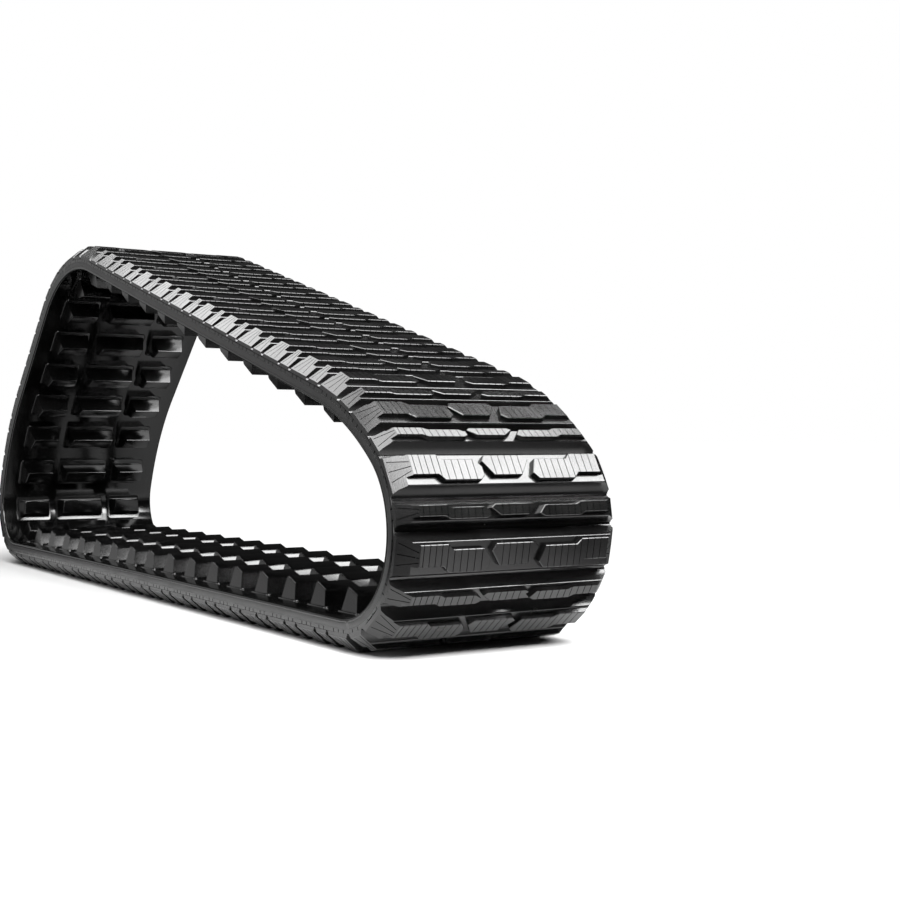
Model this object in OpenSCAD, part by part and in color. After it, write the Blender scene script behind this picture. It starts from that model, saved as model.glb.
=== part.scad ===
// All-rubber loader track: an endless belt with cross bars outside and three rows of drive lugs inside.
// The cord line is the neutral line of the belt. Depths are measured from it, outwards positive.
// +X points to the round nose, +Y across the belt, +Z up. The track stands on its tread at z = 0.

/* [Belt] */
// Width of the belt
belt_w = 381; // [340:1:420]
// Number of drive pitches round the belt
pitch_count = 42; // [41:1:43]
// Depth of the wheel-side surface inside the cord line
inner_d = 10; // [9:0.5:12]
// Height of the groove floor outside the cord line
floor_d = 14; // [12:0.5:16]
// Height of the tread top outside the cord line
tread_d = 42; // [36:0.5:44]
// Width of the rubber edge strips
edge_w = 14; // [8:1:20]

/* [Loop shape] */
// Cord line radius of the round nose
nose_r = 141; // [136:1:146]
// Cord line radius of the shoulder over the nose
shoulder_r = 450; // [420:5:480]
// Turn of the shoulder in degrees
shoulder_turn = 24.5; // [23:0.5:26]
// Slope of the top run in degrees
top_slope = 15.5; // [14.5:0.1:16.5]
// Cord line radius of the crown
crown_r = 298; // [285:1:310]
// Lean of the rear wall from the ground in degrees
wall_slope = 44.5; // [43:0.5:46]
// Straight length of the rear wall
wall_l = 265; // [250:1:280]
// Cord line radius of the soft bend low in the rear wall
wall_r = 590; // [560:10:620]
// Turn of the soft bend in degrees
wall_turn = 26.5; // [25:0.5:28]
// Cord line radius of the rear bend on the ground
rear_r = 100; // [97:1:105]

/* [Tread bars] */
// Width of a wide bar at its foot, as a share of the pitch
wide_foot = 0.56; // [0.52:0.01:0.58]
// Width of a wide bar at its top, as a share of the pitch
wide_top = 0.46; // [0.42:0.01:0.48]
// Width of a narrow bar at its foot, as a share of the pitch
narrow_foot = 0.33; // [0.3:0.01:0.35]
// Width of a narrow bar at its top, as a share of the pitch
narrow_top = 0.24; // [0.2:0.01:0.26]
// Length over which a bar end slopes down to the belt edge
bar_end_l = 27; // [22:1:32]
// Place of the first wide bar along the bottom run, in pitches
bar_phase = 0.95; // [0.85:0.01:1.1]

/* [Drive lugs] */
// Height of a drive lug
lug_h = 38; // [33:1:42]
// Width of a lug at its foot along the belt, as a share of the pitch
lug_foot = 0.48; // [0.44:0.01:0.52]
// Height of the bend between a lug's sloping crest and its leading face
lug_kink_h = 28; // [24:1:31]
// Length of the centre lugs across the belt
centre_lug_l = 112; // [100:1:120]
// Length of the side lugs across the belt
side_lug_l = 75; // [66:1:80]
// Distance from the belt edge to a side lug
lug_margin = 38; // [32:1:42]
// Lead of the lugs on the wide bars, as a share of the pitch
lug_lead = -0.33; // [-0.4:0.01:0.04]

/* [Plies] */
// Height of the inner cover's top, inside the cord line
inner_cover_d = 4; // [3.5:0.1:5]
// Half thickness of the tension cord layer
cord_half = 2; // [1.5:0.1:2.5]
// Height of the outer ply's top
outer_ply_d = 4; // [3.5:0.1:4.5]
// Height of the breaker ply's top
breaker_d = 6.5; // [5.5:0.1:7]

/* [Flex] */
// Gap between the two faces of a bending line
flex_gap = 2; // [1.2:0.1:2.4]

/* [Hidden] */
RUN_NAMES = ["bottom", "nose", "top", "rear"];
PIECES = ["inner_cover", "inner_ply", "cord_layer", "outer_ply", "breaker_ply", "outer_cover",
    "left_edge", "right_edge", "wide_bars", "narrow_bars", "left_lugs", "centre_lugs", "right_lugs"];

deg_per_rad = 180 / PI;
tiny = 0.001;
arc_step = 13;        // longest chord on a bend
bar_lip = 5;          // height of a bar at the belt edge over the groove floor
seat = 0.004;         // hair's breadth between a bar or lug and the cover under it
bar_bevel = 3;        // bevel along a bar's top edges
lug_draft = 8;        // slope of a lug's two ends over its height
bar_spare = 30;       // allowance of the cutting shape beyond a bar
lug_front = 0.64;     // place of a lug's bend before its middle, as a share of half its foot
lug_back = 0.62;      // place of a lug's crest behind its middle, as a share of half its foot

// Headings: 0 on the bottom run, rising anticlockwise as seen from the left side of the belt.
nose_turn = 180 - top_slope - shoulder_turn;
crown_turn = top_slope + wall_slope;
rear_turn = 180 - wall_slope - wall_turn;

function arc_l(r, turn) = r * turn / deg_per_rad;

// One leg of the cord line is [length, turn]. The two long runs are worked out so that the loop closes.
bends = [
    [arc_l(nose_r, nose_turn), nose_turn],
    [arc_l(shoulder_r, shoulder_turn), shoulder_turn],
    [0, 0],
    [arc_l(crown_r, crown_turn), crown_turn],
    [wall_l, 0],
    [arc_l(wall_r, wall_turn), wall_turn],
    [arc_l(rear_r, rear_turn), rear_turn]
];

// A state is [distance along the cord line, x, z, heading].
function leg_point(state, leg, u) =
    leg[1] == 0
    ? [state[0] + u, state[1] + u * cos(state[3]), state[2] + u * sin(state[3]), state[3]]
    : let (r = leg[0] / leg[1] * deg_per_rad, h = state[3] + leg[1] * u / leg[0])
      [state[0] + u, state[1] + r * (sin(h) - sin(state[3])),
       state[2] + r * (cos(state[3]) - cos(h)), h];

function run_legs(legs, state, i = 0) =
    i == len(legs) ? [state]
    : concat([state], run_legs(legs, leg_point(state, legs[i], legs[i][0]), i + 1));

open_loop = run_legs(bends, [0, 0, 0, 0]);
gap = open_loop[len(bends)];
top_heading = nose_turn + shoulder_turn;
top_l = -gap[2] / sin(top_heading);
bottom_l = -gap[1] - top_l * cos(top_heading);
legs = [[bottom_l, 0], bends[0], bends[1], [top_l, 0], bends[3], bends[4], bends[5], bends[6]];
starts = run_legs(legs, [0, 0, tread_d, 0]);
belt_l = starts[len(legs)][0];
pitch = belt_l / pitch_count;

function steps(leg) = leg[1] == 0 ? 1 : ceil(leg[0] / arc_step);

path = concat(
    [for (i = [0:len(legs) - 1]) for (j = [0:steps(legs[i]) - 1])
        leg_point(starts[i], legs[i], legs[i][0] * j / steps(legs[i]))],
    [starts[len(legs)]]
);
along_x = [for (p = path) [p[0], p[1]]];
along_z = [for (p = path) [p[0], p[2]]];
along_sin = [for (p = path) [p[0], sin(p[3])]];
along_cos = [for (p = path) [p[0], cos(p[3])]];
along_heading = [for (p = path) [p[0], p[3]]];

function wrap(s) = s - belt_l * floor(s / belt_l);

// Point of the layered belt at distance s and depth d. It runs straight between the path's own points.
function belt_point(s, d) =
    let (m = wrap(s))
    [lookup(m, along_x) + d * lookup(m, along_sin), lookup(m, along_z) - d * lookup(m, along_cos)];

// Point of a stiff bar or lug that stands at distance s: u along the belt and d outwards.
function stiff_point(s, u, d) =
    let (h = lookup(wrap(s), along_heading), o = belt_point(s, 0))
    [o[0] + u * cos(h) + d * sin(h), o[1] + u * sin(h) - d * cos(h)];

function between(s0, s1) =
    [for (turns = [-1:1]) for (i = [0:len(path) - 2]) let (s = path[i][0] + turns * belt_l)
        if (s > s0 + tiny && s < s1 - tiny) s];

function edge_line(s0, s1, d) = [for (s = concat([s0], between(s0, s1), [s1])) belt_point(s, d)];
function reversed(list) = [for (i = [len(list) - 1:-1:0]) list[i]];

// A bending line lies in the groove behind a wide bar. Each run starts at one, given by its first bar.
function bar_s(i) = (i + bar_phase) * pitch;
groove_mid = (wide_foot / 2 + 0.5 - narrow_foot / 2) / 2;
first_bars = [-1, 16, 20, 33];
rear_line = bar_s(first_bars[0] - 1) + groove_mid * pitch;
nose_line = bar_s(first_bars[1] - 1) + groove_mid * pitch;
open_line = bar_s(first_bars[2] - 1) + groove_mid * pitch;
crown_line = bar_s(first_bars[3] - 1) + groove_mid * pitch;

// A run is [start, end, number of its first wide bar, number of its last one], in the order of RUN_NAMES.
RUNS = [
    [rear_line, nose_line, first_bars[0], first_bars[1] - 1],
    [nose_line, open_line, first_bars[1], first_bars[2] - 1],
    [open_line, crown_line, first_bars[2], first_bars[3] - 1],
    [crown_line, rear_line + belt_l, first_bars[3], first_bars[0] + pitch_count - 1]
];

// The whole track is moved along X so that x = 0 halves its length.
bar_corners = [for (i = [0:pitch_count - 1]) for (side = [-1, 1])
    for (bar = [[0, wide_top], [0.5, narrow_top]])
        stiff_point(bar_s(i + bar[0]), side * (bar[1] * pitch / 2 - bar_bevel), tread_d)[0]];
mid_x = (min(bar_corners) + max(bar_corners)) / 2;

module across(y0, y1) {
    translate([-mid_x, y1, 0]) rotate([90, 0, 0]) linear_extrude(y1 - y0) children();
}

// One layer of a run, between two depths.
module layer(run, d0, d1, y0, y1) {
    s0 = run[0] + flex_gap / 2;
    s1 = run[1] - flex_gap / 2;
    across(y0, y1) polygon(concat(edge_line(s0, s1, d1), reversed(edge_line(s0, s1, d0))));
}

module inner_cover(run) {
    color("#141414") layer(run, -inner_d, -inner_cover_d, -belt_w / 2, belt_w / 2);
}

module inner_ply(run) {
    color("#c8b48c") layer(run, -inner_cover_d, -cord_half, edge_w - belt_w / 2, belt_w / 2 - edge_w);
}

module cord_layer(run) {
    color("#d9d2bd") layer(run, -cord_half, cord_half, edge_w - belt_w / 2, belt_w / 2 - edge_w);
}

module outer_ply(run) {
    color("#c8b48c") layer(run, cord_half, outer_ply_d, edge_w - belt_w / 2, belt_w / 2 - edge_w);
}

module breaker_ply(run) {
    color("#a8946c") layer(run, outer_ply_d, breaker_d, edge_w - belt_w / 2, belt_w / 2 - edge_w);
}

module outer_cover(run) {
    color("#1c1c1c") layer(run, breaker_d, floor_d, -belt_w / 2, belt_w / 2);
}

module left_edge(run) {
    color("#2a2a2a") layer(run, -inner_cover_d, breaker_d, -belt_w / 2, edge_w - belt_w / 2);
}

module right_edge(run) {
    color("#2a2a2a") layer(run, -inner_cover_d, breaker_d, belt_w / 2 - edge_w, belt_w / 2);
}

// Section of a bar seen from the side of the belt. Its foot follows the groove floor.
module bar_section(s, foot, top) {
    half = top * pitch / 2;
    polygon(concat(
        edge_line(s - foot * pitch / 2, s + foot * pitch / 2, floor_d + seat),
        [stiff_point(s, half, tread_d - bar_bevel), stiff_point(s, half - bar_bevel, tread_d),
         stiff_point(s, bar_bevel - half, tread_d), stiff_point(s, -half, tread_d - bar_bevel)]
    ));
}

// Shape seen along the belt (points [across, depth]), swept past both sides of a bar or lug at distance s.
module along_belt(s, foot, points) {
    o = belt_point(s, 0);
    h = lookup(wrap(s), along_heading);
    length = foot * pitch + bar_spare;
    translate([o[0] - mid_x, 0, o[1]]) rotate([0, -h, 0]) rotate([180, 0, 0])
        translate([-length / 2, 0, 0]) rotate([90, 0, 90]) linear_extrude(length)
            polygon([for (p = points) [-p[0], p[1]]]);
}

module bar(s, foot, top) {
    intersection() {
        across(-belt_w / 2, belt_w / 2) bar_section(s, foot, top);
        along_belt(s, foot, [
            [-belt_w / 2, 0], [belt_w / 2, 0], [belt_w / 2, floor_d + bar_lip],
            [belt_w / 2 - bar_end_l, tread_d], [bar_end_l - belt_w / 2, tread_d],
            [-belt_w / 2, floor_d + bar_lip]
        ]);
    }
}

module wide_bars(run) {
    color("#303030") for (i = [run[2]:run[3]]) bar(bar_s(i), wide_foot, wide_top);
}

module narrow_bars(run) {
    color("#3a3a3a") for (i = [run[2]:run[3]]) bar(bar_s(i - 0.5), narrow_foot, narrow_top);
}

// Section of a drive lug: a steep back, a crest that slopes down to a bend, and a leading face.
module lug_section(s) {
    half = lug_foot * pitch / 2;
    polygon(concat(
        edge_line(s - half, s + half, -inner_d - seat),
        [stiff_point(s, half * lug_front, -inner_d - lug_kink_h),
         stiff_point(s, -half * lug_back, -inner_d - lug_h)]
    ));
}

// A lug's two ends lean towards each other from the belt's surface up to the crest.
module lug(s, y0, y1) {
    intersection() {
        across(y0, y1) lug_section(s);
        along_belt(s, lug_foot, [
            [y0, 0], [y0, -inner_d], [y0 + lug_draft, -inner_d - lug_h], [y1 - lug_draft, -inner_d - lug_h],
            [y1, -inner_d], [y1, 0]
        ]);
    }
}

module lug_row(run, y0, y1) {
    for (i = [run[2]:run[3]]) lug(bar_s(i) + lug_lead * pitch, y0, y1);
}

module left_lugs(run) {
    color("#101010") lug_row(run, lug_margin - belt_w / 2, lug_margin + side_lug_l - belt_w / 2);
}

module centre_lugs(run) {
    color("#101010") lug_row(run, -centre_lug_l / 2, centre_lug_l / 2);
}

module right_lugs(run) {
    color("#101010") lug_row(run, belt_w / 2 - lug_margin - side_lug_l, belt_w / 2 - lug_margin);
}

for (i = [0:len(RUNS) - 1]) {
    inner_cover(RUNS[i]);
    inner_ply(RUNS[i]);
    cord_layer(RUNS[i]);
    outer_ply(RUNS[i]);
    breaker_ply(RUNS[i]);
    outer_cover(RUNS[i]);
    left_edge(RUNS[i]);
    right_edge(RUNS[i]);
    wide_bars(RUNS[i]);
    narrow_bars(RUNS[i]);
    left_lugs(RUNS[i]);
    centre_lugs(RUNS[i]);
    right_lugs(RUNS[i]);
}
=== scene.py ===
# %% [markdown]
# # Rubber track for a compact loader
# The real object is one endless rubber belt, moulded in a press: cross bars outside, three rows of drive
# lugs inside, fabric and cords in between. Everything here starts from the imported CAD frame, in metres: +X
# points to the round nose, +Y across the belt, +Z up, and the belt stands on its bars at z = 0.

# %% Load the frame
import math

import bpy
import numpy as np
from mathutils import Matrix, Vector


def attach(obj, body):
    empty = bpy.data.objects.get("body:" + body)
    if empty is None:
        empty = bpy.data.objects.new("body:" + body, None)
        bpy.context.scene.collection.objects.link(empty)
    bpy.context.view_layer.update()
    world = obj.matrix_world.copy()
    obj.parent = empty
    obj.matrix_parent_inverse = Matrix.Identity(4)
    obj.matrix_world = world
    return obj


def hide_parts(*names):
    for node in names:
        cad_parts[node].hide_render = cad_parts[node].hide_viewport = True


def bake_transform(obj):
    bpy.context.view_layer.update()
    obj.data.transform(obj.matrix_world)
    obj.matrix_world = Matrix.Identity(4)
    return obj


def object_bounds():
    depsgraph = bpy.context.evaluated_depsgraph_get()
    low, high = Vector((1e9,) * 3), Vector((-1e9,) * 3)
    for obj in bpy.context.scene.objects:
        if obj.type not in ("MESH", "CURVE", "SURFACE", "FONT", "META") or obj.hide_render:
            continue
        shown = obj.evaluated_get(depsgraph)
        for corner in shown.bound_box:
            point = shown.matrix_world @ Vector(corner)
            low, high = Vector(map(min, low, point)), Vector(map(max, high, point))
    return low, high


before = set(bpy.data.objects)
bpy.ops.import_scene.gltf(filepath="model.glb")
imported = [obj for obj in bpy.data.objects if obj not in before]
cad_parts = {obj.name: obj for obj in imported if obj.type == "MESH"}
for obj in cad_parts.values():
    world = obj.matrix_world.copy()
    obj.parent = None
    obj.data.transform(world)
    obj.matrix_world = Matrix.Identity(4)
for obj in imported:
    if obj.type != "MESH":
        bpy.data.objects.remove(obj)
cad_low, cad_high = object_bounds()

mm = 0.001
print("CAD box, m:", [round(a, 3) for a in cad_high - cad_low])

# %% [markdown]
# ## The line of the belt
# The tension cords are the only part of a belt that doesn't stretch, so the shape of the loop is drawn on
# their line. It could be a Bezier curve with a Curve modifier, but the bars have to sit at exact distances
# along it. Straight runs and arcs, joined with no kink, give each distance in closed form, so they are used
# here.

# %% Belt sizes and the legs of the cord line
belt_w = 381 * mm     # across the belt
half_w = belt_w / 2
pitch_count = 42      # drive pitches round the loop
inner_d = 10 * mm     # depth from the cords to the wheel side
layer_in = 4 * mm     # and to the inner face of the sealed layers
layer_out = 6.5 * mm  # from the cords out to their outer face
floor_d = 14 * mm     # out to the groove floor
tread_d = 42 * mm     # out to the tops of the bars

nose_r = 141 * mm
shoulder_r = 450 * mm
crown_r = 298 * mm
wall_r = 590 * mm
rear_r = 100 * mm
wall_l = 265 * mm
shoulder_turn = math.radians(24.5)
top_slope = math.radians(15.5)   # fall of the top run towards the nose
wall_slope = math.radians(44.5)  # slope of the upper rear wall
wall_turn = math.radians(26.5)   # bend of the lower rear wall


def leg_end(state, leg):
    """State [distance, x, z, heading] after one leg (length, turn)."""
    s, x, z, heading = state
    length, turn = leg
    if turn == 0:
        return [s + length, x + length * math.cos(heading), z + length * math.sin(heading), heading]
    r = length / turn
    return [s + length, x + r * (math.sin(heading + turn) - math.sin(heading)),
            z + r * (math.cos(heading) - math.cos(heading + turn)), heading + turn]


def arc(r, turn):
    """The leg (length, turn) of a round bend."""
    return (r * turn, turn)


nose_turn = math.pi - top_slope - shoulder_turn
bends = [arc(nose_r, nose_turn), arc(shoulder_r, shoulder_turn), arc(crown_r, top_slope + wall_slope),
         (wall_l, 0), arc(wall_r, wall_turn), arc(rear_r, math.pi - wall_slope - wall_turn)]
state = [0, 0, 0, 0]
for leg in bends:
    state = leg_end(state, leg)
top_heading = nose_turn + shoulder_turn
top_l = -state[2] / math.sin(top_heading)
bottom_l = -state[1] - top_l * math.cos(top_heading)
legs = [(bottom_l, 0), bends[0], bends[1], (top_l, 0)] + bends[2:]
starts = [[0, 0, tread_d, 0]]
for leg in legs:
    starts.append(leg_end(starts[-1], leg))
belt_l = starts[-1][0]
pitch = belt_l / pitch_count
print("belt length %.1f mm, pitch %.2f mm" % (belt_l / mm, pitch / mm))

# %% A point of the belt from its distance along the cords and its depth outside them
leg_start = np.array(starts[:-1])
leg_bend = np.array([turn / length for length, turn in legs])


def cord_line(s):
    """x, z and heading of the cord line at the distances s."""
    s = np.mod(np.asarray(s, float), belt_l)
    i = np.clip(np.searchsorted(leg_start[:, 0], s, side="right") - 1, 0, len(legs) - 1)
    s0, x0, z0, h0 = leg_start[i].T
    u, bend = s - s0, leg_bend[i]
    h = h0 + bend * u
    straight = np.abs(bend) < 1e-9
    k = np.where(straight, 1, bend)
    x = np.where(straight, x0 + u * np.cos(h0), x0 + (np.sin(h) - np.sin(h0)) / k)
    z = np.where(straight, z0 + u * np.sin(h0), z0 + (np.cos(h0) - np.cos(h)) / k)
    return x, z, h


nose_tip_x = float(np.max(cord_line(np.arange(0, belt_l, 1 * mm))[0]))
print("the nose reaches %.1f mm from the start of the line" % (nose_tip_x / mm))

# %% Places of the bars, and the middle of the loop, which is x = 0 in the CAD frame
bar_phase = 0.95    # place of the first wide bar; this and the widths along the belt are in pitches
wide_foot = 0.56
wide_top = 0.46
narrow_foot = 0.33
narrow_top = 0.24
bar_bevel = 3 * mm


def bar_s(i):
    """Distance of wide bar i along the cords. Half numbers are narrow bars."""
    return (i + bar_phase) * pitch


corner_x = []
for gap, top in ((0, wide_top), (0.5, narrow_top)):
    for side in (-1, 1):
        x, z, h = cord_line((np.arange(pitch_count) + bar_phase + gap) * pitch)
        corner_x.append(x + side * (top * pitch / 2 - bar_bevel) * np.cos(h) + tread_d * np.sin(h))
mid_x = (np.min(corner_x) + np.max(corner_x)) / 2
print("middle of the loop %.2f mm from the start of the line" % (mid_x / mm))

# %% [markdown]
# ## Four runs
# On the real belt the rubber bends everywhere a little. The CAD model shows that as four stiff runs with a
# bending line between each two. A line could cross a bar, but a real belt bends in its grooves, where it is
# thin, so each line lies in the groove behind a wide bar.

# %% Runs and the bending lines between them
groove_mid = (wide_foot / 2 + 0.5 - narrow_foot / 2) / 2  # from a wide bar to the next groove, in pitches
first_bars = [-1, 16, 20, 33, pitch_count - 1]  # each run's first wide bar, and the end of the last run
bodies = {"bottom": "bottom_run", "nose": "nose", "top": "top_run", "rear": "rear_run"}
runs = {}
for i, (name, body) in enumerate(bodies.items()):
    runs[name] = (body, first_bars[i], first_bars[i + 1])
line_s = [bar_s(i - 1) + groove_mid * pitch for i in first_bars]
for joint, s in zip(("rear", "nose", "open", "crown"), line_s):
    x, z, h = cord_line(s)
    print("%s line at x %.1f, z %.1f mm" % (joint, (x - mid_x) / mm, z / mm))

# %% [markdown]
# ## From a flat model to the bent belt
# Each piece is modelled flat, lying on the floor, where it is easy to measure, and then laid onto the belt.
# A Curve modifier could bend it, but bars are stiff: on the nose their feet follow the bend and their tops
# stay straight. One function does both, with a depth over which soft turns to stiff.

# %% Laying a flat piece onto the belt
def lay_on_belt(obj, s, outside=True, soft=None, stiff=None):
    """Flat x runs along the belt, flat z away from it. From height soft to stiff the bend dies out."""
    co = np.empty(len(obj.data.vertices) * 3)
    obj.data.vertices.foreach_get("co", co)
    u, y, height = co.reshape(-1, 3).T
    d = height if outside else -height
    x, z, h = cord_line(s + u)
    bent = np.stack([x + d * np.sin(h), z - d * np.cos(h)])
    if soft is not None:
        x, z, h = cord_line(s)
        rigid = np.stack([x + u * np.cos(h) + d * np.sin(h), z + u * np.sin(h) - d * np.cos(h)])
        t = np.clip((height - soft) / (stiff - soft), 0, 1)
        t = t * t * (3 - 2 * t)
        bent = bent * (1 - t) + rigid * t
    co = np.stack([bent[0] - mid_x, -y if outside else y, bent[1]], 1)
    obj.data.vertices.foreach_set("co", co.ravel())
    obj.data.update()
    return obj


def only(obj):
    """Makes obj the one selected and active object."""
    bpy.ops.object.select_all(action="DESELECT")
    obj.select_set(True)
    bpy.context.view_layer.objects.active = obj
    return obj


def copy_of(obj, name):
    """A copy with its own mesh."""
    new = obj.copy()
    new.data = obj.data.copy()
    new.name = new.data.name = name
    bpy.context.scene.collection.objects.link(new)
    return new


def joined(parts, name):
    """Joins the parts into one object."""
    only(parts[0])
    for part in parts[1:]:
        part.select_set(True)
    if len(parts) > 1:
        bpy.ops.object.join()
    obj = bpy.context.view_layer.objects.active
    obj.name = obj.data.name = name
    return obj


def apply_modifier(obj, kind, **settings):
    """Adds a modifier, sets it and applies it."""
    only(obj)
    modifier = obj.modifiers.new(kind.lower(), kind)
    for key, value in settings.items():
        setattr(modifier, key, value)
    bpy.ops.object.modifier_apply(modifier=modifier.name)
    return obj


x, z, h = cord_line(bar_s(18))
print("wide bar 18 stands on the nose at x %.1f, z %.1f mm" % ((x - mid_x) / mm, z / mm))

# %% [markdown]
# ## Blocks, cut shapes and edges
# A mould for rubber is milled, so its shapes are flat outlines with a small bevel along each edge, where
# the light catches. An outline could be drawn with the knife, but a circle with as many vertices as the
# outline has corners, moved to those corners, filled and extruded, gives the same block with exact sizes.

# %% A block from its outline, and a plain box
def corners_to(obj, corners, z):
    """Moves the vertices of a flat circle to the corners of an outline."""
    for vertex, (x, y) in zip(obj.data.vertices, corners):
        vertex.co = (x, y, z)


def block(name, corners, low, high, bevel=0.0, lean=1.0):
    """An outline (x, y) raised from low to high. lean narrows its top, bevel rounds off its top edges."""
    bpy.ops.object.select_all(action="DESELECT")
    bpy.ops.mesh.primitive_circle_add(vertices=len(corners), radius=0.01, fill_type="NGON")
    obj = bpy.context.active_object
    obj.name = obj.data.name = name
    corners_to(obj, corners, low)
    middle = np.mean(corners, axis=0)
    bpy.ops.object.mode_set(mode="EDIT")
    bpy.ops.mesh.select_all(action="SELECT")
    bpy.ops.mesh.extrude_region_move(TRANSFORM_OT_translate={"value": (0, 0, high - low - bevel)})
    if lean != 1:
        bpy.ops.transform.resize(value=(lean, 1, 1), center_override=(middle[0], middle[1], high))
    if bevel:
        bpy.ops.mesh.inset(thickness=bevel)
        bpy.ops.transform.translate(value=(0, 0, bevel))
    bpy.ops.mesh.select_all(action="SELECT")
    bpy.ops.mesh.normals_make_consistent(inside=False)
    bpy.ops.object.mode_set(mode="OBJECT")
    return obj


def box(name, low, high, turn=0.0):
    """A plain box between two corners, turned about the upright through its middle."""
    low, high = Vector(low), Vector(high)
    bpy.ops.object.select_all(action="DESELECT")
    bpy.ops.mesh.primitive_cube_add(size=1)
    obj = bpy.context.active_object
    obj.name = obj.data.name = name
    obj.data.transform(Matrix.LocRotScale((low + high) / 2, Matrix.Rotation(turn, 3, "Z"), high - low))
    return obj


def slice_off(obj, point, normal):
    """Cuts away what lies on the normal's side of a plane and fills the cut."""
    only(obj)
    bpy.ops.object.mode_set(mode="EDIT")
    bpy.ops.mesh.select_all(action="SELECT")
    bpy.ops.mesh.bisect(plane_co=point, plane_no=normal, use_fill=True, clear_outer=True)
    bpy.ops.object.mode_set(mode="OBJECT")


# %% Cuts, rounded edges and booleans
def cut_across(obj, places):
    """Adds a loop of edges across the piece at each x, so that it can bend there."""
    only(obj)
    bpy.ops.object.mode_set(mode="EDIT")
    for x in places:
        bpy.ops.mesh.select_all(action="SELECT")
        bpy.ops.mesh.bisect(plane_co=(x, 0, 0), plane_no=(1, 0, 0))
    bpy.ops.object.mode_set(mode="OBJECT")


def round_edges(obj, size, segments, test):
    """Bevels the edges whose two ends a, b pass the test."""
    only(obj)
    bpy.ops.object.mode_set(mode="EDIT")
    bpy.ops.mesh.select_all(action="DESELECT")
    bpy.ops.mesh.select_mode(type="EDGE")
    bpy.ops.object.mode_set(mode="OBJECT")
    for edge in obj.data.edges:
        a, b = (obj.data.vertices[v].co for v in edge.vertices)
        edge.select = test(a, b)
    bpy.ops.object.mode_set(mode="EDIT")
    bpy.ops.mesh.bevel(offset=size, segments=segments, affect="EDGES")
    bpy.ops.object.mode_set(mode="OBJECT")


def round_corners(obj, corners):
    """Rounds the long edges of a strip of belt. corners is a list of (corner y, corner height, size)."""
    for y, d, size in corners:
        corner = Vector((y, d))
        round_edges(obj, size, 4, lambda a, b: max((p.yz - corner).length for p in (a, b)) < 1e-5)


def boolean(obj, other, operation):
    """Cuts or joins with the other object, which is used up."""
    apply_modifier(obj, "BOOLEAN", object=other, operation=operation, solver="EXACT")
    bpy.data.objects.remove(other)
    return obj


# A trial piece, to count its faces
trial = block("trial", [(0, 0), (10 * mm, 0), (10 * mm, 5 * mm), (0, 5 * mm)], 0, 4 * mm, bevel=1 * mm)
print("a bevelled block has", len(trial.data.polygons), "faces")
bpy.data.objects.remove(trial)

# %% [markdown]
# ## A tread bar
# Each bar is a low body with a ledge, and three blocks stand on it: a stepped one, a six-sided island and
# another stepped one, with slanted channels between them. Sipes, cut by thin blades in the mould, cross the
# block tops. The ends slope down to the belt edge and carry slits in a fan. They could be carved out of one
# slab, but flat outlines raised to blocks keep every corner exact. The bar is modelled flat with its tread
# up, one wide and one narrow, from the same outlines: the narrow one has them squeezed along the belt.

# %% Outlines of the blocks, as (distance from the left edge, place along the belt), in millimetres
outer_block = [(10, -9), (10, 17), (72.5, 17), (80.5, 10.5), (133.4, 10.5), (144.3, 0.5), (144.3, -11),
               (137.4, -16.5), (76.6, -16.5), (67.6, -9)]
island = [(152.6, 15.5), (220.4, 15.5), (228, 9.3), (210.6, -11), (161.6, -11), (146.2, 7.2)]
inner_block = [(240.6, 10.5), (297.6, 10.5), (305.6, 17), (371, 17), (371, -9), (313.4, -9), (304.4, -16.5),
               (239.4, -16.5), (230.6, -8.6)]
outer_sipes = [32, 42, 52, 62, 72, 83, 94.5, 106, 118, 130]
island_sipes = [165 + 11.5 * i for i in range(5)]
inner_sipes = [247, 258.5, 270, 282, 294, 305, 317, 329, 341]

# %% Section of a bar's body: a fillet at its foot, a leaning flank and a rounded ledge
side_d = (13, 14.05, 14.7, 16.6, 19.6, 24, 31.6, 33.1, 34)
wide_side_u = (29.6, 29.6, 28.2, 27, 26.4, 25.6, 24.5, 24, 22.8)
narrow_side_u = (18, 18, 16.7, 15.6, 14.6, 13.8, 12.8, 12.3, 11.2)
top_d = tread_d - 0.3 * mm  # the blocks stay inside the CAD bars
block_foot_d = 30           # inside the body, so that block and body join
block_bevel = 0.9
edge_d = 19                 # height of a bar's end where it meets the belt edge
end_l = 27                  # length over which the end slopes up to the blocks
sipe_w = 1.1
sipe_floor_d = 37.5
slit_w = 1.2
slit_depth = 3.2
print("section of a wide bar:", len(side_d) * 2, "corners")


# %% A whole bar
def keep_flat_map(obj):
    """Stores where each corner lies on the flat model, in metres, for patterns that follow the belt."""
    layer = obj.data.uv_layers.get("flat") or obj.data.uv_layers.new(name="flat")
    for loop in obj.data.loops:
        co = obj.data.vertices[loop.vertex_index].co
        layer.data[loop.index].uv = (co.x, co.y)
    return obj


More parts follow.
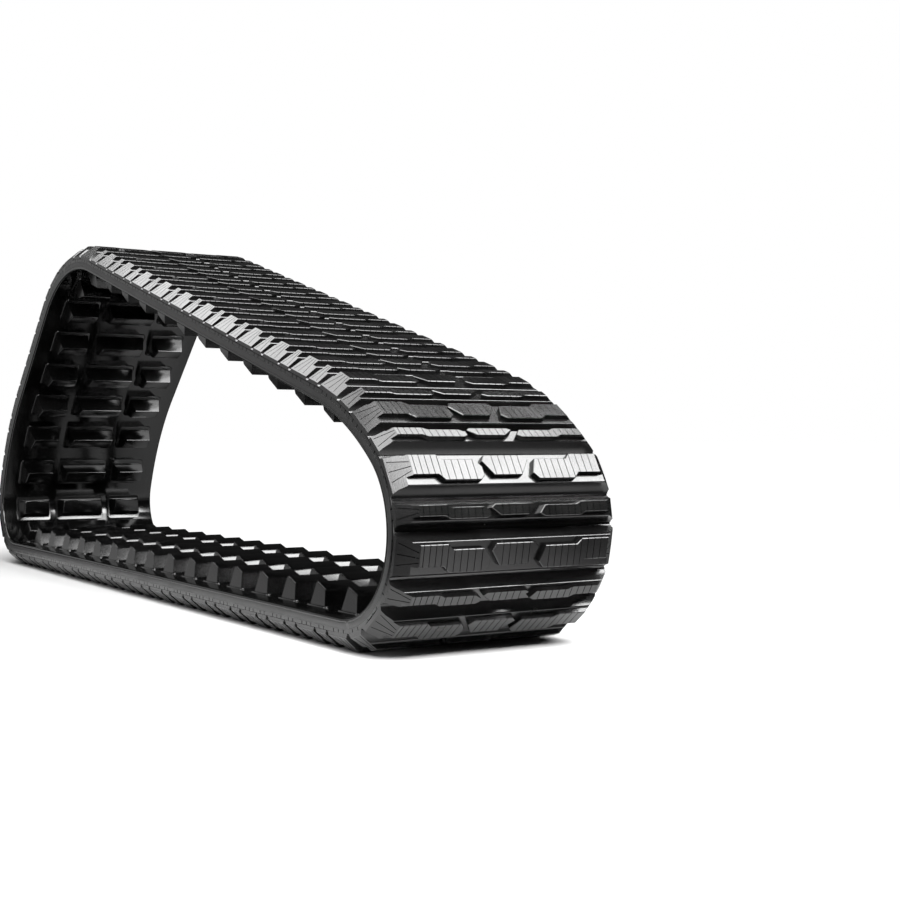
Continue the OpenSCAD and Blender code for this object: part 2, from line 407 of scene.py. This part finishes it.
def tread_bar(name, side_u, squeeze, slits):
    """A bar, tread up, with x along the belt and y towards the left edge. slits are (inner x, outer x)."""
    side = list(zip(side_u, side_d))
    profile = side + [(-u, d) for u, d in reversed(side)]
    body = block(name, [(d * mm, u * mm) for u, d in profile], 0, belt_w)
    turn = Matrix(((0, 1, 0, 0), (0, 0, 1, -half_w), (1, 0, 0, 0), (0, 0, 0, 1)))
    body.data.transform(turn)
    parts = []
    for outline in (outer_block, island, inner_block):
        corners = [(u * squeeze * mm, half_w - e * mm) for e, u in outline]
        part = block(name + "_block", corners, block_foot_d * mm, top_d, bevel=block_bevel * mm, lean=0.98)
        parts.append(part)
    blocks = joined(parts, name + "_blocks")
    boolean(body, blocks, "UNION")
    rise = Vector((0, tread_d / mm - edge_d, end_l)).normalized()
    for way in (1, -1):
        slice_off(body, (0, way * half_w, edge_d * mm), (0, way * rise.y, rise.z))
    cuts = []
    for e in outer_sipes + island_sipes + inner_sipes:
        low = (-30 * mm, half_w - (e + sipe_w / 2) * mm, sipe_floor_d * mm)
        high = (30 * mm, half_w - (e - sipe_w / 2) * mm, 50 * mm)
        cuts.append(box("sipe", low, high))
    slope = math.atan2(tread_d / mm - edge_d, end_l)
    lift = (tread_d / mm + edge_d) / 2 * mm
    for way in (1, -1):
        for inner, outer in slits:
            turn_by = -math.atan2(outer - inner, end_l) * way
            low = (-slit_w / 2 * mm, -16 * mm, -slit_depth * mm)
            slit = box("slit", low, (slit_w / 2 * mm, 16 * mm, 12 * mm), turn=turn_by)
            middle = ((inner + outer) / 2 * mm, way * (half_w - end_l / 2 * mm), lift)
            slit.data.transform(Matrix.Translation(middle) @ Matrix.Rotation(-slope * way, 4, "X"))
            cuts.append(slit)
    boolean(body, joined(cuts, "cuts"), "DIFFERENCE")
    print(name, "faces:", len(body.data.polygons))
    return keep_flat_map(body)


wide_bar = tread_bar("wide_bar", wide_side_u, 1.26, ((-5, -11), (2.5, 4), (10.5, 19)))
narrow_bar = tread_bar("narrow_bar", narrow_side_u, 0.63, ((-0.5, -6), (5, 9)))

# %% [markdown]
# ## A drive lug
# The lugs mesh with the sprocket. Each has a steep back, a crest that slopes down to a bend and a leading
# face, leaning ends, and stands on a low pad with round corners, where the mould's insert sat. A cube has
# the right number of corners for the body: they are moved, and then all edges are bevelled, which makes the
# bright lines.

# %% Sizes of the lugs, in millimetres
lug_foot = 24.4   # half of the foot along the belt
lug_back = -15.2  # the crest's edge over the steep back
lug_front = 15.6  # and the bend over the leading face
lug_h = 38
lug_kink_h = 28
lug_draft = 8     # how far each end leans in
pad_half = 33     # the pad along the belt, half
pad_h = 2.2
pad_rim = 4       # how far the pad shows past the ends
centre_l = 112
side_l = 75
lug_margin = 38   # from the belt edge to a side lug
lug_lead = -0.33  # place of a lug after its wide bar, in pitches
print("a lug's steep back leans %.1f degrees" % math.degrees(math.atan2(lug_foot + lug_back, lug_h)))


# %% Centre lug and side lug
def drive_lug(name, length):
    """A lug on its pad, crest up, with x along the belt."""
    half = length / 2
    lug = box(name, (-lug_foot * mm, -half * mm, -1 * mm), (lug_foot * mm, half * mm, lug_h * mm))
    for vertex in lug.data.vertices:
        if vertex.co.z > 0:
            front = vertex.co.x > 0
            vertex.co.x = (lug_front if front else lug_back) * mm
            vertex.co.z = (lug_kink_h if front else lug_h) * mm
            vertex.co.y *= (half - lug_draft * vertex.co.z / (lug_h * mm)) / half
    round_edges(lug, 2.8 * mm, 3, lambda a, b: min(a.z, b.z) > 1 * mm)
    rim = half + pad_rim
    pad = box(name + "_pad", (-pad_half * mm, -rim * mm, -1 * mm), (pad_half * mm, rim * mm, pad_h * mm))
    round_edges(pad, 8 * mm, 4, lambda a, b: abs(a.z - b.z) > 1 * mm)
    round_edges(pad, 1.4 * mm, 2, lambda a, b: min(a.z, b.z) > 1 * mm)
    return joined([lug, pad], name)


centre_lug = drive_lug("centre_lug", centre_l)
side_lug = drive_lug("side_lug", side_l)
side_y = half_w - (lug_margin + side_l / 2) * mm
print("lug rows at y = 0 and %.1f mm" % (side_y / mm))

# %% [markdown]
# ## Covers and edge strips
# Under the bars the belt is layered: a smooth inner cover, the sealed fabric and cords, and the outer cover
# whose free stripes are the groove floors. One pitch of each layer is modelled flat and repeated with an
# Array modifier, because every pitch is the same, and the ends of a run are then trimmed where the belt
# bends most.

# %% One pitch of a layer
tile_start = (groove_mid - 1) * pitch
tile_cuts = 16
blend_half = 3.3 * mm  # a run ends this far from a bending line
open_half = 0.3 * mm   # and this far from the open one
wall_slit_w = 1.8
wall_slit_low_d = 7.2


def open_ends(tile):
    """Deletes the two end faces, so that copies merge into one hollow run."""
    only(tile)
    bpy.ops.object.mode_set(mode="EDIT")
    bpy.ops.mesh.select_all(action="DESELECT")
    bpy.ops.mesh.select_mode(type="FACE")
    bpy.ops.object.mode_set(mode="OBJECT")
    for polygon in tile.data.polygons:
        from_end = min(abs(polygon.center.x - tile_start), abs(polygon.center.x - tile_start - pitch))
        polygon.select = abs(polygon.normal.x) > 0.999 and from_end < 1e-5
    bpy.ops.object.mode_set(mode="EDIT")
    bpy.ops.mesh.delete(type="FACE")
    bpy.ops.object.mode_set(mode="OBJECT")


def layer_tile(name, y0, y1, d0, d1, corners, slits=()):
    """One pitch of a layer, open at both ends, with slits cut in its side walls."""
    tile = box(name, (tile_start, y0, d0), (tile_start + pitch, y1, d1))
    round_corners(tile, corners)
    if slits:
        cuts = []
        for u in slits:
            for way in (1, -1):
                low = (u - wall_slit_w / 2 * mm, way * half_w - 4 * mm, wall_slit_low_d * mm)
                high = (u + wall_slit_w / 2 * mm, way * half_w + 4 * mm, 20 * mm)
                cuts.append(box("slit", low, high))
        boolean(tile, joined(cuts, "slits"), "DIFFERENCE")
    cut_across(tile, [tile_start + pitch * i / tile_cuts for i in range(1, tile_cuts)])
    open_ends(tile)
    return tile


# %% The four layers that can be seen
outer_corners = [(-half_w, floor_d, 2.5 * mm), (half_w, floor_d, 2.5 * mm)]
inner_corners = [(-half_w, -inner_d, 3.5 * mm), (half_w, -inner_d, 3.5 * mm)]
strip_w = 14 * mm
slit_u = [-11 * mm, 4 * mm, 18.5 * mm, -0.5 * pitch - 6 * mm, -0.5 * pitch + 9 * mm]
tiles = {
    "outer_cover": layer_tile("outer_tile", -half_w, half_w, layer_out, floor_d, outer_corners, slit_u),
    "inner_cover": layer_tile("inner_tile", -half_w, half_w, -inner_d, -layer_in, inner_corners),
    "left_edge": layer_tile("left_tile", half_w - strip_w, half_w, -layer_in, layer_out,
                            [(half_w, -layer_in, 0.5 * mm), (half_w, layer_out, 0.5 * mm)]),
    "right_edge": layer_tile("right_tile", -half_w, strip_w - half_w, -layer_in, layer_out,
                             [(-half_w, -layer_in, 0.5 * mm), (-half_w, layer_out, 0.5 * mm)]),
}
for name, tile in tiles.items():
    print(name, "tile:", len(tile.data.polygons), "faces")


# %% A whole run of a layer
def run_of(tile, name, first, end, trims):
    """A layer from the bending line before bar first to the one before bar end, trimmed at both."""
    run = copy_of(tile, name)
    apply_modifier(run, "ARRAY", count=end - first, use_relative_offset=False, use_constant_offset=True,
                   constant_offset_displace=(pitch, 0, 0), use_merge_vertices=True, merge_threshold=1e-5)
    slice_off(run, (tile_start + trims[0], 0, 0), (-1, 0, 0))
    slice_off(run, (tile_start + (end - first) * pitch - trims[1], 0, 0), (1, 0, 0))
    return lay_on_belt(run, bar_s(first))


trims = {"bottom": (blend_half, blend_half), "nose": (blend_half, open_half), "top": (open_half, blend_half),
         "rear": (blend_half, blend_half)}
pieces = {}
for run, (body, first, end) in runs.items():
    for layer, tile in tiles.items():
        pieces[run, layer] = run_of(tile, "%s_%s_rubber" % (run, layer), first, end, trims[run])
print("layers laid:", len(pieces))

# %% [markdown]
# ## Bars and lugs all round
# A bar is moulded onto the cover, so its foot follows the bend and its thick top stays straight. An Array
# modifier with a Curve could repeat them, but it would bend the tops too, so each bar and lug is a copy
# that is laid on its own place. Copies of one kind in one run are joined, because the CAD model has them as
# one node.

# %% Lay the bars and lugs
bar_soft = 14 * mm  # a bar follows the bend up to here
bar_stiff = 24 * mm  # and is straight from here
lug_soft = 11 * mm
lug_stiff = 17 * mm
row_lugs = {"left": (side_lug, -side_y), "centre": (centre_lug, 0), "right": (side_lug, side_y)}
for run, (body, first, end) in runs.items():
    wide, narrow = [], []
    rows = {row: [] for row in row_lugs}
    for i in range(first, end):
        wide.append(lay_on_belt(copy_of(wide_bar, "bar"), bar_s(i), True, bar_soft, bar_stiff))
        narrow.append(lay_on_belt(copy_of(narrow_bar, "bar"), bar_s(i - 0.5), True, bar_soft, bar_stiff))
        for row, (lug, y) in row_lugs.items():
            new = copy_of(lug, "lug")
            new.data.transform(Matrix.Translation((0, y, inner_d)))
            rows[row].append(lay_on_belt(new, bar_s(i + lug_lead), False, lug_soft, lug_stiff))
    pieces[run, "wide_bars"] = joined(wide, run + "_wide_tread_bars")
    pieces[run, "narrow_bars"] = joined(narrow, run + "_narrow_tread_bars")
    for row, lugs in rows.items():
        pieces[run, row + "_lugs"] = joined(lugs, "%s_%s_drive_lugs" % (run, row))
for obj in (wide_bar, narrow_bar, centre_lug, side_lug, *tiles.values()):
    bpy.data.objects.remove(obj)
print("pieces laid:", len(pieces))

# %% [markdown]
# ## Strips across the bending lines
# Where two runs meet at a hinge the real rubber bends, so a short strip of belt lies across each bending
# line and turns smoothly from one run to the next. The plies and cords end beside it, sealed inside.

# %% One strip across each of the three hinges
strips = {}
for joint, s, before, after in (("rear_bend", line_s[0], "rear_run", "bottom_run"),
                                ("nose_bend", line_s[1], "bottom_run", "nose"),
                                ("crown_bend", line_s[3], "top_run", "rear_run")):
    strip = box(joint + "_strip", (-blend_half, -half_w, -inner_d), (blend_half, half_w, floor_d))
    round_corners(strip, outer_corners + inner_corners)
    cut_across(strip, [-blend_half / 2, 0, blend_half / 2])
    lay_on_belt(strip, s)
    ends = [cord_line(s + way * blend_half) for way in (-1, 1)]
    a, b = [(float(x - mid_x), 0, float(z)) for x, z, h in ends]
    strips[joint] = (strip, before, after, a, b)
    print(joint, "strip:", len(strip.data.polygons), "faces")

# %% [markdown]
# ## Rubber and fabric
# Track rubber is natural rubber with carbon black, pressed in a steel mould. Where the mould is polished
# the rubber is nearly black and glossy, and where it was sand-blasted or milled, as on the block tops, it
# is a greyer satin with a fine grain. A dielectric of IOR 1.5 gives its sheen, and noise in the roughness
# gives the bloom. A picture could be wrapped round the belt, but noise has no seams and keeps its size in
# millimetres. The real grain and mark sizes named below are typical ones for such moulds.

# %% Colours and nodes
def hex_colour(text):
    """sRGB hex to the linear colour that shaders expect."""
    values = [int(text[i:i + 2], 16) / 255 for i in (0, 2, 4)]
    return [v / 12.92 if v <= 0.04045 else ((v + 0.055) / 1.055) ** 2.4 for v in values] + [1.0]


def node(owner, kind, links=(), **settings):
    """Adds a node to a material or world. links are (input, from node, its output)."""
    new = owner.node_tree.nodes.new(kind)
    for key, value in settings.items():
        if hasattr(new, key):
            setattr(new, key, value)
        else:
            new.inputs[key.replace("_", " ")].default_value = value
    for to, other, out in links:
        owner.node_tree.links.new(other.outputs[out], new.inputs[to])
    return new


# %% A moulded finish
mark_gap_mm = 1.11  # cutter marks: really about 0.3 mm apart, drawn coarser to show
mark_l_mm = 16.7    # and really about 5 mm long


def mottled(name, dark, light, rough, grain_mm, grain, bloom_mm=60, hatch=0.0):
    """Patches of bloom in tone and gloss, a fine grain in the surface, and cutter marks along the belt."""
    material = bpy.data.materials.new(name)
    material.use_nodes = True
    shader = material.node_tree.nodes["Principled BSDF"]
    shader.inputs["IOR"].default_value = 1.52
    links = material.node_tree.links
    place = [("Vector", node(material, "ShaderNodeTexCoord"), "Object")]
    bloom = node(material, "ShaderNodeTexNoise", place, Scale=1000 / bloom_mm, Detail=4.0)
    fine = node(material, "ShaderNodeTexNoise", place, Scale=1000 / grain_mm, Detail=2.0)
    tone = node(material, "ShaderNodeValToRGB", [("Fac", bloom, "Fac")])
    for stop, position, colour in zip(tone.color_ramp.elements, (0.35, 0.7), (dark, light)):
        stop.position = position
        stop.color = hex_colour(colour)
    gloss = node(material, "ShaderNodeMapRange", [("Value", bloom, "Fac")], From_Min=0.3, From_Max=0.7,
                 To_Min=rough[0], To_Max=rough[1])
    bump = node(material, "ShaderNodeBump", [("Height", fine, "Fac")], Strength=grain, Distance=0.2 * mm)
    if hatch:
        flat = node(material, "ShaderNodeUVMap", uv_map="flat")
        stretch = node(material, "ShaderNodeMapping", [("Vector", flat, "UV")],
                       Scale=(1000 / mark_l_mm, 1000 / mark_gap_mm, 1))
        marks = node(material, "ShaderNodeTexNoise", [("Vector", stretch, "Vector")], Scale=1.0, Detail=1.0)
        bump = node(material, "ShaderNodeBump", [("Height", marks, "Fac"), ("Normal", bump, "Normal")],
                    Strength=hatch, Distance=0.3 * mm)
    links.new(tone.outputs["Color"], shader.inputs["Base Color"])
    links.new(gloss.outputs["Result"], shader.inputs["Roughness"])
    links.new(bump.outputs["Normal"], shader.inputs["Normal"])
    return material


# %% The finishes
# Natural rubber with carbon black, pressed against a milled mould. The eye sees a greyer black satin with
# fine marks along the belt. Its grain is really about 0.2 mm across and is drawn at 1.2 mm, to show.
tread_rubber = mottled("satin_moulded_tread_rubber", "040404", "090909", (0.2, 0.28), 1.2, 0.15, hatch=0.3)
# The same rubber against polished steel: nearly black, with long clear highlights in the grooves. The faint
# waves left by polishing are about 2.5 mm across.
cover_rubber = mottled("polished_moulded_cover_rubber", "020202", "040404", (0.1, 0.16), 2.5, 0.05)
# Side walls, pressed against a sand-blasted part of the mould: a dull dark grey that mirrors nothing. The
# blasted grain of about 0.3 mm is drawn at 2 mm, to show.
side_rubber = mottled("satin_moulded_side_wall_rubber", "080808", "101010", (0.28, 0.4), 2.0, 0.25)
# The lugs come from smooth mould inserts: black faces with soft bright edges. Waves about 2.5 mm across.
lug_rubber = mottled("smooth_moulded_lug_rubber", "020202", "060606", (0.14, 0.22), 2.5, 0.05)
# Polyamide cloth in rubber, sealed inside: tan and rough. Its grain has the thread spacing, about 1.5 mm.
ply_fabric = mottled("rubberised_bias_ply_fabric", "6b5a3c", "a08a5e", (0.6, 0.8), 1.5, 0.8, bloom_mm=8)
# Twisted polyester cords in rubber, sealed inside too: pale and matt, with a grain of one cord, 1.8 mm.
cord_fabric = mottled("rubberised_polyester_cords", "a8997a", "d2c5a4", (0.5, 0.7), 1.8, 0.8, bloom_mm=6)
print("finishes:", [m.name for m in (tread_rubber, cover_rubber, side_rubber, lug_rubber)])

# %% [markdown]
# ## Each piece in its place
# The rubber of a real belt is one piece after the press, but its parts differ in finish, and each run moves
# with its own body. So each piece gets its finish, smooth shading with edges over 35 degrees left sharp,
# the body that it rides on and the CAD node that it stands for. The strips at the hinges get the cover's
# finish and stay where they were laid.

# %% Finish, name and mount every piece
finish = {"outer_cover": (cover_rubber, "cover_rubber"), "inner_cover": (cover_rubber, "cover_rubber"),
          "left_edge": (side_rubber, "cover_rubber"), "right_edge": (side_rubber, "cover_rubber"),
          "wide_bars": (tread_rubber, "tread_rubber"), "narrow_bars": (tread_rubber, "tread_rubber"),
          "left_lugs": (lug_rubber, "lug_rubber"), "centre_lugs": (lug_rubber, "lug_rubber"),
          "right_lugs": (lug_rubber, "lug_rubber")}


def finished(obj, material):
    """Gives a piece its material and its shading."""
    obj.data.materials.clear()
    obj.data.materials.append(material)
    only(obj)
    bpy.ops.object.shade_smooth_by_angle(angle=math.radians(35))


for (run, part), obj in pieces.items():
    material, slot = finish[part]
    finished(obj, material)
    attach(obj, runs[run][0])
    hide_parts("%s_%s" % (run, part))
for strip, before, after, a, b in strips.values():
    finished(strip, cover_rubber)
    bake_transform(strip)
for run in runs:
    for part, material in (("inner_ply", ply_fabric), ("outer_ply", ply_fabric), ("breaker_ply", ply_fabric),
                           ("cord_layer", cord_fabric)):
        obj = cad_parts["%s_%s" % (run, part)]
        obj.data.materials.clear()
        obj.data.materials.append(material)

# %% [markdown]
# ## Floor
# Such a belt is shown on a pale floor that fades into white. A painted plane could be lit until it is
# white, but then it would throw too much light back, so it is grey under the belt, dark further out and
# glows white there for the camera alone. The dark further out is painted shade: it stands in for the
# softboxes' light falling off away from the belt, where the rubber mirrors the floor. The oval around the
# belt keeps its soft shadow.

# %% A floor that fades to white for the camera, with painted shade further out
floor_oval = (1.25, 0.6)  # half sizes along x and y, m
shadow_end = 0.82         # the fade to white starts here, in ovals
fade_end = 1.2            # and ends here
bpy.ops.object.select_all(action="DESELECT")
bpy.ops.mesh.primitive_plane_add(size=60)
floor = bpy.context.active_object
floor.name = "studio_floor"
floor.data.transform(Matrix.Translation((0, 0, cad_low[2])))
floor_paint = bpy.data.materials.new("matt_floor_paint_with_painted_far_shade")
floor_paint.use_nodes = True
shader = floor_paint.node_tree.nodes["Principled BSDF"]
shader.inputs["Roughness"].default_value = 0.9
shader.inputs["Emission Color"].default_value = (1, 1, 1, 1)
place = node(floor_paint, "ShaderNodeTexCoord")
oval = node(floor_paint, "ShaderNodeMapping", [("Vector", place, "Object")],
            Scale=(1 / floor_oval[0], 1 / floor_oval[1], 1))
away = node(floor_paint, "ShaderNodeVectorMath", [("Vector", oval, "Vector")], operation="LENGTH")
fade = node(floor_paint, "ShaderNodeMapRange", [("Value", away, "Value")],
            From_Min=shadow_end, From_Max=fade_end)
seen = node(floor_paint, "ShaderNodeLightPath")
glow = node(floor_paint, "ShaderNodeMath", [(0, fade, "Result"), (1, seen, "Is Camera Ray")],
            operation="MULTIPLY")
# Painted shade: from shadow_end to fade_end the floor's colour darkens from grey to near black, a painted
# falloff of the softboxes' light that the rubber mirrors.
painted_shade_ramp = node(floor_paint, "ShaderNodeValToRGB", [("Fac", fade, "Result")])
for stop, colour in zip(painted_shade_ramp.color_ramp.elements, ("a8a8a8", "202020")):
    stop.color = hex_colour(colour)
links = floor_paint.node_tree.links
links.new(painted_shade_ramp.outputs["Color"], shader.inputs["Base Color"])
links.new(glow.outputs["Value"], shader.inputs["Emission Strength"])
floor.data.materials.append(floor_paint)
print("floor at z = %.2f mm" % (cad_low[2] / mm))

# %% [markdown]
# ## Lights
# Black rubber is lit by what it reflects, and a small lamp would only leave dots on it. Wide softboxes draw
# bright planes instead: one over the nose end, one in front that the block tops mirror, a weaker one over
# the crown and two at the near side for the wall and the lugs. The world is almost dark, except where the
# camera sees it. A picture of a studio as the world could do the same, but not with edges this straight.

# %% Softboxes
def soft_light(name, place, aim, width, height, radiance):
    """A rectangular softbox, places in m, radiance in W/(m2 sr). The camera sees it only in reflections."""
    data = bpy.data.lights.new(name, "AREA")
    data.shape, data.size, data.size_y = "RECTANGLE", width, height
    data.energy = radiance * math.pi * width * height
    obj = bpy.data.objects.new(name, data)
    bpy.context.scene.collection.objects.link(obj)
    obj.location = place
    obj.rotation_euler = (Vector(aim) - Vector(place)).to_track_quat("-Z", "Y").to_euler()
    obj.visible_camera = False
    return obj


soft_light("overhead_softbox", (1.1, -0.5, 2.2), (1.1, -0.5, 0), 1.6, 4.2, 11)
soft_light("front_softbox", (2.3, -0.05, 1.88), (0.74, -0.05, -0.07), 4.7, 1.02, 22)
soft_light("rear_overhead_softbox", (-1.2, -0.6, 2.2), (-1.2, -0.6, 0), 2.2, 0.9, 6)
soft_light("near_side_reflector", (-2.6, -1.7, 0.7), (-0.2, -0.3, 0.3), 2.6, 1.4, 0.5)
soft_light("near_side_softbox", (0.3, -2.6, 0.4), (0.3, 0, 0.4), 2.2, 0.8, 5)

# %% White for the camera, nearly dark for the reflections
dark_world = 0.03
world = bpy.data.worlds.new("pale_studio")
bpy.context.scene.world = world
world.use_nodes = True
back = world.node_tree.nodes["Background"]
back.inputs["Color"].default_value = (1, 1, 1, 1)
path = node(world, "ShaderNodeLightPath")
level = node(world, "ShaderNodeMapRange", [("Value", path, "Is Camera Ray")], To_Min=dark_world)
world.node_tree.links.new(level.outputs["Result"], back.inputs["Strength"])
bpy.context.scene.view_settings.view_transform = "Standard"
print("world level in reflections:", dark_world)

# %% [markdown]
# ## Camera
# The belt is seen from its nose end, a little from the left and from about the middle of its height, with a
# long lens. Aiming could be done with a Track To constraint, but a small roll is easier to give as angles.

# %% Camera from its place, angles and lens
camera_place = (3.518 - mid_x, -1.2228, 0.3288)
azimuth, elevation, roll = (math.radians(a) for a in (57.078, 0.802, 0.303))
camera_data = bpy.data.cameras.new("camera")
camera_data.sensor_width = 36
camera_data.lens = 58.716
camera = bpy.data.objects.new("camera", camera_data)
bpy.context.scene.collection.objects.link(camera)
ahead = Vector((-math.sin(azimuth) * math.cos(elevation), math.cos(azimuth) * math.cos(elevation),
                -math.sin(elevation)))
right = Vector((math.cos(azimuth), math.sin(azimuth), 0))
up = right.cross(ahead)
right, up = right * math.cos(roll) + up * math.sin(roll), up * math.cos(roll) - right * math.sin(roll)
axes = Matrix((right, up, -ahead)).transposed()
camera.matrix_world = Matrix.Translation(camera_place) @ axes.to_4x4()
bpy.context.scene.camera = camera
print("camera at", [round(a, 3) for a in camera.matrix_world.translation])
